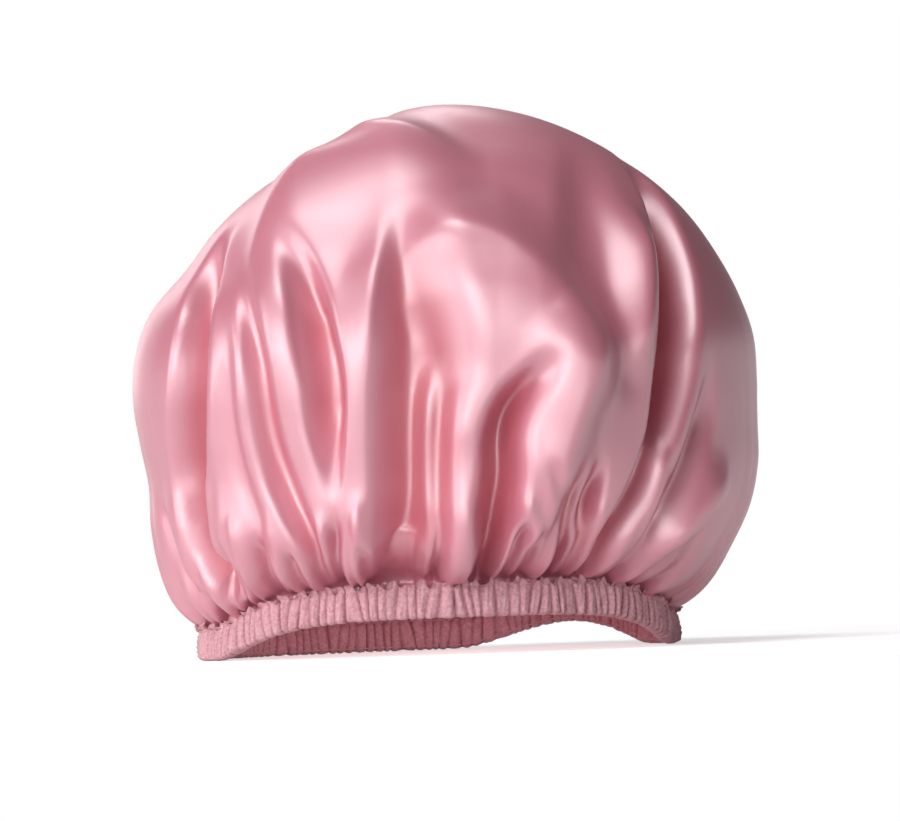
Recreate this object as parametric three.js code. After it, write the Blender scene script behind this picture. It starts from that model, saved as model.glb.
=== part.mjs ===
// A gathered satin sleep bonnet that stands on its own band.
// The crown is one round of satin, gathered onto a ruffled casing that carries a loop of elastic tape.
// Millimetres, +Z up. The wearer faces -Y, so the front of the band is its -Y side.
import * as THREE from "three";

// Crown
const CROWN_WIDTH = 237; // side to side of the round that the widest facets lie in
const CROWN_DEPTH = 219; // front to back of that round
const CROWN_TOP = 205; // height of the top
const BELLY_HEIGHT = 104; // height of the widest part
const BELLY_LEAN = 6; // how far the belly lies towards +X of the band
const TOP_LEAN = 13; // how far the top does
const SHOULDER_POWER = 1.7; // superellipse power of the outline above the belly
const SKIRT_REACH = 157; // upright half axis of the ellipse that the outline follows below the belly
const TUCK_HEIGHT = 5; // height over which the cloth turns in to the band
const CLOTH_WALL = 1; // thickness of the satin with its gathers pressed together
const RIM_GAP = 0.6; // the rim's straight edges keep this clear of the casing's curved one
const CROWN_RINGS = 10; // rings of the crown from the band to the top
const RING_CROWDING = 1.5; // power that draws the rings together above the band
const MIDDLE_RING = 4; // ring at which a fold's azimuth is given once more
const FOLD_START = 26; // the folds reach their full depth this far above the band
const FOLD_HOLD = 0.5; // they keep it over this share of their height
const FLANK_DEPTH = 0.55; // depth halfway down a valley's slow side, as a share of its own

// Band
const BAND_WIDTH = 174; // middle line of the band, side to side
const BAND_DEPTH = 140; // middle line of the band, front to back
const FRONT_ARCH = 13; // lift of the band over the forehead
const FRONT_ARCH_AT = -83; // azimuth of that arch's middle, in degrees
const FRONT_ARCH_HALF = 76; // half of the arch's spread, in degrees
const FRONT_ARCH_POWER = 4; // a higher power makes the arch flatter
const SIDE_ARCH = 9; // lift of the short arch behind the +X ear
const SIDE_ARCH_AT = 54; // azimuth of that arch's middle, in degrees
const SIDE_ARCH_HALF = 32; // half of its spread, in degrees
const SIDE_ARCH_POWER = 2;
const SPLIT_AZIMUTH = 25; // the front run of the band starts this far in front of the sides, in degrees

// Casing
const HEM = 2; // cloth of the casing above and below the elastic
const CASING_WALL = 0.7; // least cloth between the elastic's channel and the outside
const RIB_RISE = 1.2; // how far a gather stands out of the groove beside it
const RIB_COUNT = 90; // gathers round the whole band
const EDGE_ROUND = 0.8; // rounding of the casing's upper and lower edges

// Elastic tape
const ELASTIC_WIDTH = 9;
const ELASTIC_THICKNESS = 1;
const OVERLAP = 24; // length over which the tape's two ends lie on each other
const OVERLAP_RAMP = 12; // length over which each end moves aside for the other

// Sewing thread
const THREAD = 0.6; // diameter of a seam's thread
const SEAM_INSET = 1.6; // seams run this far inside the casing's edges
const JOIN_THREAD = 0.4; // diameter of the thread that joins the tape's ends
const JOIN_TURNS = 5; // zigzags across the tape
const JOIN_INSET = 1; // the zigzag stays this far inside the tape's edges
const JOIN_STEPS = 6; // straight steps of the thread for one zigzag
const THREAD_SIDES = 6; // sides of a thread's section
const THREAD_STEP = 7; // length of one straight step of a seam's thread

const CLEARANCE = 0.3; // gap kept between pieces that touch

// Main folds of the crown, one a line: azimuth at the band, halfway up and at the fold's end in degrees,
// depth of the valley and height of its end. rise and fall are places on the way to the next valley, at
// which the cloth has come up out of this one and starts down into that one.
const FOLDS = [
  { foot: -156, middle: -148, end: -147, depth: 12, height: 166, rise: 0.15, fall: 0.6 },
  { foot: -121, middle: -124, end: -137, depth: 11, height: 150, rise: 0.25, fall: 0.32 },
  { foot: -111, middle: -112, end: -125, depth: 10, height: 162, rise: 0.3, fall: 0.38 },
  { foot: -103, middle: -99, end: -107, depth: 13, height: 172, rise: 0.5, fall: 0.6 },
  { foot: -90, middle: -91, end: -88, depth: 7, height: 108, rise: 0.2, fall: 0.45 },
  { foot: -77, middle: -76, end: -64, depth: 14, height: 112, rise: 0.12, fall: 0.72 },
  { foot: -44, middle: -38, end: -22, depth: 17, height: 184, rise: 0.25, fall: 0.55 },
  { foot: -32, middle: -25, end: -12, depth: 8, height: 118, rise: 0.12, fall: 0.77 },
  { foot: 16, middle: 18, end: 20, depth: 9, height: 140, rise: 0.35, fall: 0.45 },
  { foot: 36, middle: 39, end: 41, depth: 11, height: 165, rise: 0.3, fall: 0.52 },
  { foot: 58, middle: 60, end: 62, depth: 9, height: 125, rise: 0.2, fall: 0.52 },
  { foot: 84, middle: 85, end: 86, depth: 12, height: 170, rise: 0.3, fall: 0.55 },
  { foot: 112, middle: 110, end: 108, depth: 9, height: 130, rise: 0.2, fall: 0.52 },
  { foot: 138, middle: 135, end: 132, depth: 11, height: 160, rise: 0.25, fall: 0.6 },
  { foot: 158, middle: 160, end: 164, depth: 9, height: 145, rise: 0.15, fall: 0.86 },
];

// Puffs that stand out above the front folds: azimuth and height of the middle, half spreads, and rise.
const PUFFS = [
  { azimuth: -88, half: 36, height: 142, halfHeight: 46, rise: 7 },
  { azimuth: -131, half: 32, height: 171, halfHeight: 36, rise: 7 },
];

// Sizes that follow from those above
const CASING_HEIGHT = ELASTIC_WIDTH + 2 * HEM;
const CHANNEL_HALF = ELASTIC_THICKNESS / 2 + CLEARANCE;
const GROOVE_HALF = CHANNEL_HALF + CASING_WALL;
const LAYER_SHIFT = (ELASTIC_THICKNESS + CLEARANCE) / 2; // each tape end moves this far aside in the overlap
const JOIN_ROOM = LAYER_SHIFT + JOIN_THREAD + CLEARANCE; // extra half thickness of the casing at the overlap
const FULL_TURN = 360; // degrees
const RIB_PITCH = FULL_TURN / RIB_COUNT; // degrees
const REAR_CENTRE = 90; // azimuth of the middle of the back, in degrees
const FRONT_START = SPLIT_AZIMUTH - FULL_TURN / 2;
const FRONT_END = -SPLIT_AZIMUTH;
const REAR_START = FRONT_END;
const REAR_END = FRONT_START + FULL_TURN;

const radians = THREE.MathUtils.degToRad;

// Smooth hump of height 1 that falls to 0 where the way from its middle is half the spread.
function hump(way, half, power) {
  return (1 - Math.min(1, Math.abs(way) / half) ** power) ** 2;
}

// Degrees from one azimuth to another, the short way round.
function turnFrom(middle, azimuth) {
  return THREE.MathUtils.euclideanModulo(azimuth - middle + FULL_TURN / 2, FULL_TURN) - FULL_TURN / 2;
}

// Height of the band's lower edge above the table.
function bandLow(azimuth) {
  return (
    FRONT_ARCH * hump(turnFrom(FRONT_ARCH_AT, azimuth), FRONT_ARCH_HALF, FRONT_ARCH_POWER) +
    SIDE_ARCH * hump(turnFrom(SIDE_ARCH_AT, azimuth), SIDE_ARCH_HALF, SIDE_ARCH_POWER)
  );
}

// Length of the band's middle line for one degree of azimuth.
function bandSpeed(azimuth) {
  const a = radians(azimuth);
  return radians(1) * Math.hypot((BAND_WIDTH / 2) * Math.sin(a), (BAND_DEPTH / 2) * Math.cos(a));
}

// A point beside the band's middle line: out is along the outward normal, up is above the lower edge.
function bandPoint(azimuth, out, up) {
  const a = radians(azimuth);
  const normal = new THREE.Vector2(Math.cos(a) / BAND_WIDTH, Math.sin(a) / BAND_DEPTH).normalize();
  return new THREE.Vector3(
    (BAND_WIDTH / 2) * Math.cos(a) + out * normal.x,
    (BAND_DEPTH / 2) * Math.sin(a) + out * normal.y,
    bandLow(azimuth) + up,
  );
}

// Share of the overlap's room at an azimuth: 1 over the overlap itself, falling to 0 along the ramps.
function overlapShare(azimuth) {
  const length = Math.abs(azimuth - REAR_CENTRE) * bandSpeed(REAR_CENTRE);
  return 1 - THREE.MathUtils.smoothstep(length, OVERLAP / 2, OVERLAP / 2 + OVERLAP_RAMP);
}

// Evenly spaced azimuths from start to end, both included.
function azimuths(start, end, count) {
  return Array.from({ length: count + 1 }, (_, i) => start + ((end - start) * i) / count);
}

// The triangles between two rings of points, with the outside on the right of the way round.
function skin(triangles, lower, upper) {
  lower.forEach((point, i) => {
    const next = (i + 1) % lower.length;
    triangles.push(point, lower[next], upper[next], point, upper[next], upper[i]);
  });
}

function geometryOf(triangles) {
  return new THREE.BufferGeometry().setFromPoints(triangles);
}

// A solid swept through rings of points, with a channel through it where inner rings are given.
// flatOuter and flatInner are the first ring as flat outlines, from which the ends are filled.
function sweep(rings, flatOuter, innerRings = [], flatInner = []) {
  const triangles = [];
  rings.slice(1).forEach((ring, i) => skin(triangles, ring, rings[i]));
  innerRings.slice(1).forEach((ring, i) => skin(triangles, innerRings[i], ring));
  const holes = innerRings.length ? [flatInner] : [];
  const faces = THREE.ShapeUtils.triangulateShape(flatOuter, holes);
  const first = [...rings[0], ...(innerRings[0] ?? [])];
  const last = [...rings.at(-1), ...(innerRings.at(-1) ?? [])];
  faces.forEach(([a, b, c]) => {
    triangles.push(first[a], first[b], first[c]);
    triangles.push(last[a], last[c], last[b]);
  });
  return geometryOf(triangles);
}

// The outline of a band piece as [out, up] pairs, anticlockwise.
function boxOutline(inside, outside, low, high) {
  return [
    [inside, low],
    [outside, low],
    [outside, high],
    [inside, high],
  ];
}

function casingOutline(half) {
  const edge = half - EDGE_ROUND;
  return [
    [-edge, 0],
    [edge, 0],
    [half, EDGE_ROUND],
    [half, CASING_HEIGHT - EDGE_ROUND],
    [edge, CASING_HEIGHT],
    [-edge, CASING_HEIGHT],
    [-half, CASING_HEIGHT - EDGE_ROUND],
    [-half, EDGE_ROUND],
  ];
}

function ringAt(azimuth, outline) {
  return outline.map(([out, up]) => bandPoint(azimuth, out, up));
}

function flat(outline) {
  return outline.map(([out, up]) => new THREE.Vector2(out, up));
}

// One run of the casing: gathers outside, and a flat channel for the elastic right through it.
function casing(start, end) {
  const ribs = Math.round((end - start) / RIB_PITCH);
  const halfAt = (azimuth, rise) => GROOVE_HALF + rise + JOIN_ROOM * overlapShare(azimuth);
  const outer = azimuths(start, end, 2 * ribs).map((azimuth, i) =>
    casingOutline(halfAt(azimuth, i % 2 ? RIB_RISE : 0)),
  );
  const channel = azimuths(start, end, ribs).map((azimuth) => {
    const half = CHANNEL_HALF + JOIN_ROOM * overlapShare(azimuth);
    return boxOutline(-half, half, HEM - CLEARANCE, HEM + ELASTIC_WIDTH + CLEARANCE);
  });
  return sweep(
    azimuths(start, end, 2 * ribs).map((azimuth, i) => ringAt(azimuth, outer[i])),
    flat(outer[0]),
    azimuths(start, end, ribs).map((azimuth, i) => ringAt(azimuth, channel[i])),
    flat(channel[0]),
  );
}

// One run of the elastic tape. In the overlap at the back, side moves it out (+1) or in (-1).
function elastic(start, end, side) {
  const steps = Math.round((end - start) / RIB_PITCH);
  const outlineAt = (azimuth) => {
    const out = side * LAYER_SHIFT * overlapShare(azimuth);
    const half = ELASTIC_THICKNESS / 2;
    return boxOutline(out - half, out + half, HEM, HEM + ELASTIC_WIDTH);
  };
  const rings = azimuths(start, end, steps).map((azimuth) => ringAt(azimuth, outlineAt(azimuth)));
  return sweep(rings, flat(outlineAt(start)));
}

// A round thread through points.
function thread(points, diameter, steps) {
  const section = new THREE.Shape(
    Array.from({ length: THREAD_SIDES }, (_, i) => {
      const turn = (i / THREAD_SIDES) * 2 * Math.PI;
      return new THREE.Vector2((diameter / 2) * Math.cos(turn), (diameter / 2) * Math.sin(turn));
    }),
  );
  const path = new THREE.CatmullRomCurve3(points);
  return new THREE.ExtrudeGeometry(section, { steps, extrudePath: path, bevelEnabled: false });
}

// A seam's thread lies along the inner side of the casing, on the crests of the gathers.
function seamThread(start, end, up) {
  const length = (end - start) * bandSpeed(REAR_CENTRE);
  const steps = Math.round(length / THREAD_STEP);
  const points = azimuths(start, end, steps).map((azimuth) => {
    const crest = GROOVE_HALF + RIB_RISE + JOIN_ROOM * overlapShare(azimuth);
    return bandPoint(azimuth, -(crest + CLEARANCE + THREAD / 2), up);
  });
  return thread(points, THREAD, steps);
}

// The zigzag that holds the tape's two ends together, on the inner side of the inner end.
function joinThread() {
  const out = -(LAYER_SHIFT + ELASTIC_THICKNESS / 2 + CLEARANCE / 2 + JOIN_THREAD / 2);
  const span = (OVERLAP / 2 - JOIN_INSET) / bandSpeed(REAR_CENTRE);
  const points = azimuths(REAR_CENTRE - span, REAR_CENTRE + span, 2 * JOIN_TURNS).map((azimuth, i) =>
    bandPoint(azimuth, out, i % 2 ? HEM + ELASTIC_WIDTH - JOIN_INSET : HEM + JOIN_INSET),
  );
  return thread(points, JOIN_THREAD, JOIN_STEPS * JOIN_TURNS);
}

// The upright seam that joins the two ends of the casing strip, on its inner side at the back.
function casingJoinThread() {
  const out = -(GROOVE_HALF + RIB_RISE + JOIN_ROOM + CLEARANCE + THREAD / 2);
  const low = SEAM_INSET + THREAD + CLEARANCE;
  const points = [low, CASING_HEIGHT / 2, CASING_HEIGHT - low].map((up) => bandPoint(REAR_CENTRE, out, up));
  return thread(points, THREAD, points.length - 1);
}

// Width of the crown at a height, as a share of its width at the belly.
function outlineShare(height) {
  if (height < BELLY_HEIGHT) {
    return Math.sqrt(1 - ((BELLY_HEIGHT - height) / SKIRT_REACH) ** 2);
  }
  const rise = Math.min(1, (height - BELLY_HEIGHT) / (CROWN_TOP - BELLY_HEIGHT));
  return (1 - rise ** SHOULDER_POWER) ** (1 / SHOULDER_POWER);
}

// How deep the folds are at a height: nothing at the rim, full a little above it, nothing at the fold's end.
function foldShare(foldEnd, height, rim) {
  const start = THREE.MathUtils.smoothstep(height, rim, rim + FOLD_START);
  const held = THREE.MathUtils.lerp(rim, foldEnd, FOLD_HOLD);
  const end = 1 - THREE.MathUtils.smoothstep(height, held, foldEnd);
  return start * end;
}

// How far the puffs stand out.
function puffAt(azimuth, height) {
  const rises = PUFFS.map(
    (puff) =>
      puff.rise *
      hump(turnFrom(puff.azimuth, azimuth), puff.half, 2) *
      hump(height - puff.height, puff.halfHeight, 2),
  );
  return Math.max(...rises);
}

// How far the crown lies towards +X of the band: the belly's lean from low down, the top's at the top.
function leanAt(height, rim) {
  const low = THREE.MathUtils.smoothstep(height, rim, BELLY_HEIGHT / 2);
  const high = THREE.MathUtils.smoothstep(height, BELLY_HEIGHT, CROWN_TOP);
  return BELLY_LEAN * low + (TOP_LEAN - BELLY_LEAN) * high;
}

// Height of the crown's lower rim, which lies on the casing's upper edge.
function rimHeight(azimuth) {
  return bandLow(azimuth) + CASING_HEIGHT + RIM_GAP;
}

// A point of the crown's outside: the bulging outline turned in to the band, with puffs, less the valley.
function crownPoint(azimuth, height, valley) {
  const a = radians(azimuth);
  const rim = rimHeight(azimuth);
  const tuck = Math.exp(-(height - rim) / TUCK_HEIGHT);
  const share = outlineShare(height);
  const out = puffAt(azimuth, height) - valley;
  const halfX = THREE.MathUtils.lerp((CROWN_WIDTH / 2) * share, BAND_WIDTH / 2, tuck) + out;
  const halfY = THREE.MathUtils.lerp((CROWN_DEPTH / 2) * share, BAND_DEPTH / 2, tuck) + out;
  return new THREE.Vector3(leanAt(height, rim) + halfX * Math.cos(a), halfY * Math.sin(a), height);
}

// The columns of the crown run from each fold to the next: valley, crest, crest, and one halfway along the
// wider of the stretches after the first crest, which is the full cloth or the next valley's slow side.
function crownColumns() {
  return FOLDS.flatMap((fold, i) => {
    const next = FOLDS[(i + 1) % FOLDS.length];
    const turn = i + 1 < FOLDS.length ? 0 : FULL_TURN;
    const column = (share, near, deep) => ({
      foot: THREE.MathUtils.lerp(fold.foot, next.foot + turn, share),
      middle: THREE.MathUtils.lerp(fold.middle, next.middle + turn, share),
      end: THREE.MathUtils.lerp(fold.end, next.end + turn, share),
      height: near.height,
      depth: near.depth * deep,
    });
    return [
      column(0, fold, 1),
      column(fold.rise, fold, 0),
      ...(fold.fall - fold.rise > 1 - fold.fall
        ? [column((fold.rise + fold.fall) / 2, fold, 0), column(fold.fall, next, 0)]
        : [column(fold.fall, next, 0), column((fold.fall + 1) / 2, next, FLANK_DEPTH)]),
    ];
  });
}

// Azimuth of a column at a ring, on an easy bend through its three azimuths.
function columnAzimuth(column, ring) {
  const low = THREE.MathUtils.smoothstep(ring, 0, MIDDLE_RING);
  const high = THREE.MathUtils.smoothstep(ring, MIDDLE_RING, CROWN_RINGS);
  return THREE.MathUtils.lerp(THREE.MathUtils.lerp(column.foot, column.middle, low), column.end, high);
}

// Height of a ring: ring 0 is the rim, ring 1 ends the tuck, and the others close up towards the top.
function ringHeight(ring, rim) {
  if (ring === 0) return rim;
  if (ring === 1) return rim + TUCK_HEIGHT;
  const share = (ring - 1) / (CROWN_RINGS - 1);
  return rim + (CROWN_TOP - rim) * Math.sin((share * Math.PI) / 2) ** RING_CROWDING;
}

// The crown: one skin of satin, closed at the top and open at the band.
function crown() {
  const columns = crownColumns();
  const outsideAt = (column, ring) => {
    const azimuth = columnAzimuth(column, ring);
    const rim = rimHeight(azimuth);
    const height = ringHeight(ring, rim);
    return crownPoint(azimuth, height, column.depth * foldShare(column.height, height, rim));
  };
  const outer = [];
  for (let ring = 0; ring < CROWN_RINGS; ring += 1) {
    outer.push(columns.map((column) => outsideAt(column, ring)));
  }
  // The inside lies one cloth thickness in, along the outside's own slope.
  const inner = outer.map((points, ring) =>
    points.map((point, i) => {
      const around = points[(i + 1) % points.length].clone();
      around.sub(points[(i + points.length - 1) % points.length]);
      const above = outer[Math.min(ring + 1, CROWN_RINGS - 1)][i].clone();
      above.sub(outer[Math.max(ring - 1, 0)][i]);
      const inward = above.cross(around);
      if (ring === 0) inward.setZ(0);
      return point.clone().addScaledVector(inward.normalize(), CLOTH_WALL);
    }),
  );
  const top = new THREE.Vector3(TOP_LEAN, 0, CROWN_TOP);
  const topInside = top.clone().setZ(CROWN_TOP - CLOTH_WALL);
  const triangles = [];
  outer.slice(1).forEach((ring, i) => skin(triangles, outer[i], ring));
  inner.slice(1).forEach((ring, i) => skin(triangles, ring, inner[i]));
  skin(triangles, inner[0], outer[0]);
  columns.forEach((_, i) => {
    const next = (i + 1) % columns.length;
    triangles.push(outer.at(-1)[i], outer.at(-1)[next], top);
    triangles.push(inner.at(-1)[next], inner.at(-1)[i], topInside);
  });
  return geometryOf(triangles);
}

const satin = new THREE.MeshStandardMaterial({ color: 0xd48f9f, roughness: 0.35, metalness: 0 });
const ruffle = new THREE.MeshStandardMaterial({ color: 0xcf919c, roughness: 0.7, metalness: 0 });
const tape = new THREE.MeshStandardMaterial({ color: 0xe9dcd8, roughness: 0.85, metalness: 0 });
const sewing = new THREE.MeshStandardMaterial({ color: 0xd9a3ad, roughness: 0.6, metalness: 0 });

function piece(name, geometry, material) {
  const mesh = new THREE.Mesh(geometry, material);
  mesh.name = name;
  return mesh;
}

// Half of the gap where the front run of the band meets the rear run, in degrees.
const gap = CLEARANCE / 2 / bandSpeed(SPLIT_AZIMUTH);
const crownSeam = CASING_HEIGHT - SEAM_INSET;
const overlapHalf = OVERLAP / 2 / bandSpeed(REAR_CENTRE);

const front = new THREE.Group();
front.add(
  piece("casing_front", casing(FRONT_START + gap, FRONT_END - gap), ruffle),
  piece("elastic_front", elastic(FRONT_START + gap, FRONT_END - gap, 0), tape),
  piece("crown_seam_thread_front", seamThread(FRONT_START + gap, FRONT_END - gap, crownSeam), sewing),
  piece("hem_thread_front", seamThread(FRONT_START + gap, FRONT_END - gap, SEAM_INSET), sewing),
);

const rear = new THREE.Group();
rear.add(
  piece("crown", crown(), satin),
  piece("casing_rear", casing(REAR_START + gap, REAR_END - gap), ruffle),
  piece("elastic_rear_right", elastic(REAR_START + gap, REAR_CENTRE + overlapHalf, 1), tape),
  piece("elastic_rear_left", elastic(REAR_CENTRE - overlapHalf, REAR_END - gap, -1), tape),
  piece("elastic_join_thread", joinThread(), sewing),
  piece("casing_join_thread", casingJoinThread(), sewing),
  piece("crown_seam_thread_rear", seamThread(REAR_START + gap, REAR_END - gap, crownSeam), sewing),
  piece("hem_thread_rear", seamThread(REAR_START + gap, REAR_END - gap, SEAM_INSET), sewing),
);

// The origin is under the middle of the whole bonnet, on the table.
const assembly = new THREE.Group().add(rear, front);
const reach = new THREE.Box3().setFromObject(assembly);
const middle = reach.getCenter(new THREE.Vector3());
assembly.position.set(-middle.x, -middle.y, -reach.min.z);

const bonnet = new THREE.Group().add(assembly);
export default bonnet;
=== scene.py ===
"""A gathered satin sleep bonnet in a plain studio: satin crown, ruffled casing, elastic tape and stitches.

Sizes are in millimetres and become metres where a mesh is made. The studio's own sizes are in metres.
The front is -Y, +X is to its right, and +Z is up.
"""

import math
from collections import namedtuple

import bpy
import numpy as np
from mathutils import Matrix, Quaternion, Vector


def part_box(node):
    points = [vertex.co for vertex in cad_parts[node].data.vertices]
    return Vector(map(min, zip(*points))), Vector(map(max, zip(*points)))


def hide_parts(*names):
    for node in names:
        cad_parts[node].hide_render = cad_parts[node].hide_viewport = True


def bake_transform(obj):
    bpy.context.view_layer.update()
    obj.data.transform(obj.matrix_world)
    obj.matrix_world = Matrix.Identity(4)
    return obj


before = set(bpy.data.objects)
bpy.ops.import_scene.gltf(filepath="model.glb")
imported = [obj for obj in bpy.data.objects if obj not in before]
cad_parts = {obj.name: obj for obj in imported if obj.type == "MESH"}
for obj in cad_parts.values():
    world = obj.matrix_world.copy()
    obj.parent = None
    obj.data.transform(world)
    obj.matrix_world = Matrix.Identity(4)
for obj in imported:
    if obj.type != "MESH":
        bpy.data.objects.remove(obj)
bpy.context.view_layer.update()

MM = 0.001

# Photograph
PHOTO_WIDTH = 900  # pixels
SCALE = 0.3748  # millimetres for one pixel at the bonnet
CAMERA_ROLL = 2.13  # degrees that the picture leans
LOOK_DOWN = -1.0  # degrees that the lens looks down, so it looks up a little
CAMERA_DISTANCE = 3000
AIM = (1.3, 0.0, 90.3)  # the point in the middle of the picture
SENSOR = 36.0
CLIP_START, CLIP_END = 0.1, 100  # metres

# Band
CASING_HEIGHT = 13.0
CASING_CREST = 2.7  # half thickness of the casing's solid on a gather
OVERLAP_ROOM = 1.35  # extra half thickness where the tape's ends lie on each other
REAR_CENTRE = 90.0  # azimuth in degrees
OVERLAP_HALF, OVERLAP_RAMP = 12.0, 12.0
BAND_TURNS = np.radians(np.linspace(-360, 720, 4321))  # three times round, in quarter degrees
# Arches of the lower edge: rise, azimuth of the middle, half the spread, and how flat the top is
FRONT_ARCH = 13.0, -83.0, 76.0, 4
SIDE_ARCH = 9.0, 54.0, 32.0, 2

# Casing strip
RIBS = 138
RIB_COLUMNS = 8
SEAM_UP = 11.4  # the crown seam's height above the casing's lower edge
HEM_UP = 1.6
HEADER_TOP = 13.6  # the frill above the seam ends about here
FLARE = 0.9  # how far each layer of the frill leans away from the other
CASING_HALF = 1.5  # half thickness between the gathers
PINCH = 0.5  # what that half thickness loses where the body's swell is 0
BODY_UNDER, BODY_OVER = 2.5, 0.5  # the body's swell starts under the lower edge and ends over the seam
RIB_RISE = 1.9
RIB_FULLNESS = 0.7  # power of a rib's wave: below 1 its crest is full
RIB_LEAST = 0.35  # share of a rib's rise that is left where the seam pinches it
CREASES, CREASE_SHARE = 1.6, 0.25  # creases for one rib, and their share of its rise
CRUMPLE, FINE_CRUMPLE = 0.3, 0.2
FRILL_WAVE, FRILL_LEAD = 1.1, 0.6  # its wave from side to side, and radians ahead of the ribs
FRILL_NOTCH = 1.6  # the frill's edge sinks by this between the ribs
HEM_NOTCH, HEM_NOTCH_FADE = 0.8, 1.5  # lift of the hem between the ribs, and the height over which it fades
SIDE_ROWS, HEM_ROWS = 20, 9

# Waves round the band, each with its size, its number and its start in radians
RIB_LEAN = (2.4, 13, 1), (1.9, 29, 0), (1.2, 53, 2)
RIB_STRAY = (1.4, 7, 0), (1.2, 19, 2), (0.9, 31, 0.7), (0.35, 67, 0)
RIB_STRENGTH = (0.3, 17, 1.3), (0.25, 41, 0.5)
CREASE_STRAY = ((3, 23, 0),)
FRILL_EDGE = (0.9, 61, 1), (0.7, 107, 0), (0.4, 173, 0)
GATHER_STRAY = (0.06, 5, 1), (0.035, 11, 2), (0.02, 23, 0)
# Slanting waves of the crumple: their number round the band, and radians for each millimetre up
CRUMPLE_WAVES = (211, 1.7), (97, -2.3), (160, 3.1)

# Elastic tape
TAPE_WIDTH, TAPE_THICKNESS = 9.0, 1.0
TAPE_LOW = 2.0  # above the casing's lower edge
TAPE_SHIFT = 0.65  # a lapped end lies this far to one side
TAPE_SECTIONS = 400
TAPE_CORNERS = (-1, 0), (1, 0), (1, 1), (-1, 1)  # halves of its thickness, and shares of its width

# Stitches
STITCH_LENGTH, STITCH_PITCH, STITCH_THICK = 2.3, 3.0, 0.6
STITCH_OUT = 0.6  # they lie this far past the crests of the casing's solid
STITCH_RINGS = (-0.5, 0.2), (-0.32, 0.8), (0, 1), (0.32, 0.8), (0.5, 0.2)  # shares of length and thickness
STITCH_SIDES = 6

# Crown
CROWN_COLUMNS, CROWN_ROWS = 480, 204
FRONT_CROWDING = 0.4  # how much closer the columns are at the front than on average
ROW_CROWDING = 1.25  # power that draws the rows together at the band
MERIDIAN_STEPS = 4000  # places on the fine meridian along which the rows are spaced
DEPTH_SHARE = 110 / 117  # half depth over half width
RIM_UP = 11.0  # the cloth's edge lies this far above the casing's lower edge
HEADER_HOLD = 2.4  # the casing's frill holds the cloth in over this height
TUCK = 4.0  # above it the cloth swells out over about this height
FLAT_ROUND = 520.0  # diameter of the round of satin before it was gathered
UV_SHARE = 0.95  # the round's size in its UV map, so that it stays inside the map

# Folds
PATH_PLACES = 28  # on each smoothed path
NEARNESS_PASSES = 3
FOOT_WIDTH = 0.5  # a valley's width at its foot, as a share of its width higher up
HEAD_WIDTH = 0.6  # and its width at its upper end
FOOT_PART, HEAD_PART = (0.0, 0.4), (0.5, 1.0)  # shares of its path over which it widens and narrows
VALLEY_JOIN = 3  # power of the sum that joins valleys where they meet
VALLEY_RIM = 2.6  # how gently a valley starts at its rim
FOOT_UNDER = 40  # a valley that starts below this height comes out of the band
FOOT_START, FREE_START = (-0.2, 0.08), (0.0, 0.35)  # shares of its path between which it gets its depth
VALLEY_END = 0.7, 1.02  # and between which it loses it
RISE_START, RISE_END = (0.0, 0.35), (0.65, 1.0)  # shares over which a swell or brow rises and runs out
BROW_EDGE = 0.05, 0.4  # a brow ends at the outline: between these shares of facing the front
SOFTENINGS = 4
FOLD_HOLD = 5.0  # the band holds the folds in over about this height

# Gathers above the band: their number, their rise, and the height over which they die out
GATHERS = (90, 1.8, 7), (55, 3.6, 15), (31, 4.0, 26)
GATHER_LEAST, GATHER_FREE = 0.55, 5  # share of their rise at the rim, and the height where they have it all

# Outline seen from the front: height, reach to the left, reach to the right
OUTLINE = [
    (5, -95, 85),
    (18, -103, 94),
    (34, -109, 103.5),
    (50, -112, 112),
    (66, -112.5, 116),
    (82, -115.3, 116.5),
    (98, -117.3, 116.7),
    (114, -116, 116),
    (130, -110, 111),
    (146, -96, 103),
    (162, -83, 92),
    (178, -63, 75),
    (190, -38, 57),
    (199, -22.5, 37),
    (203, -13.5, 22),
    (205, 2.5, 2.5),
]

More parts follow.
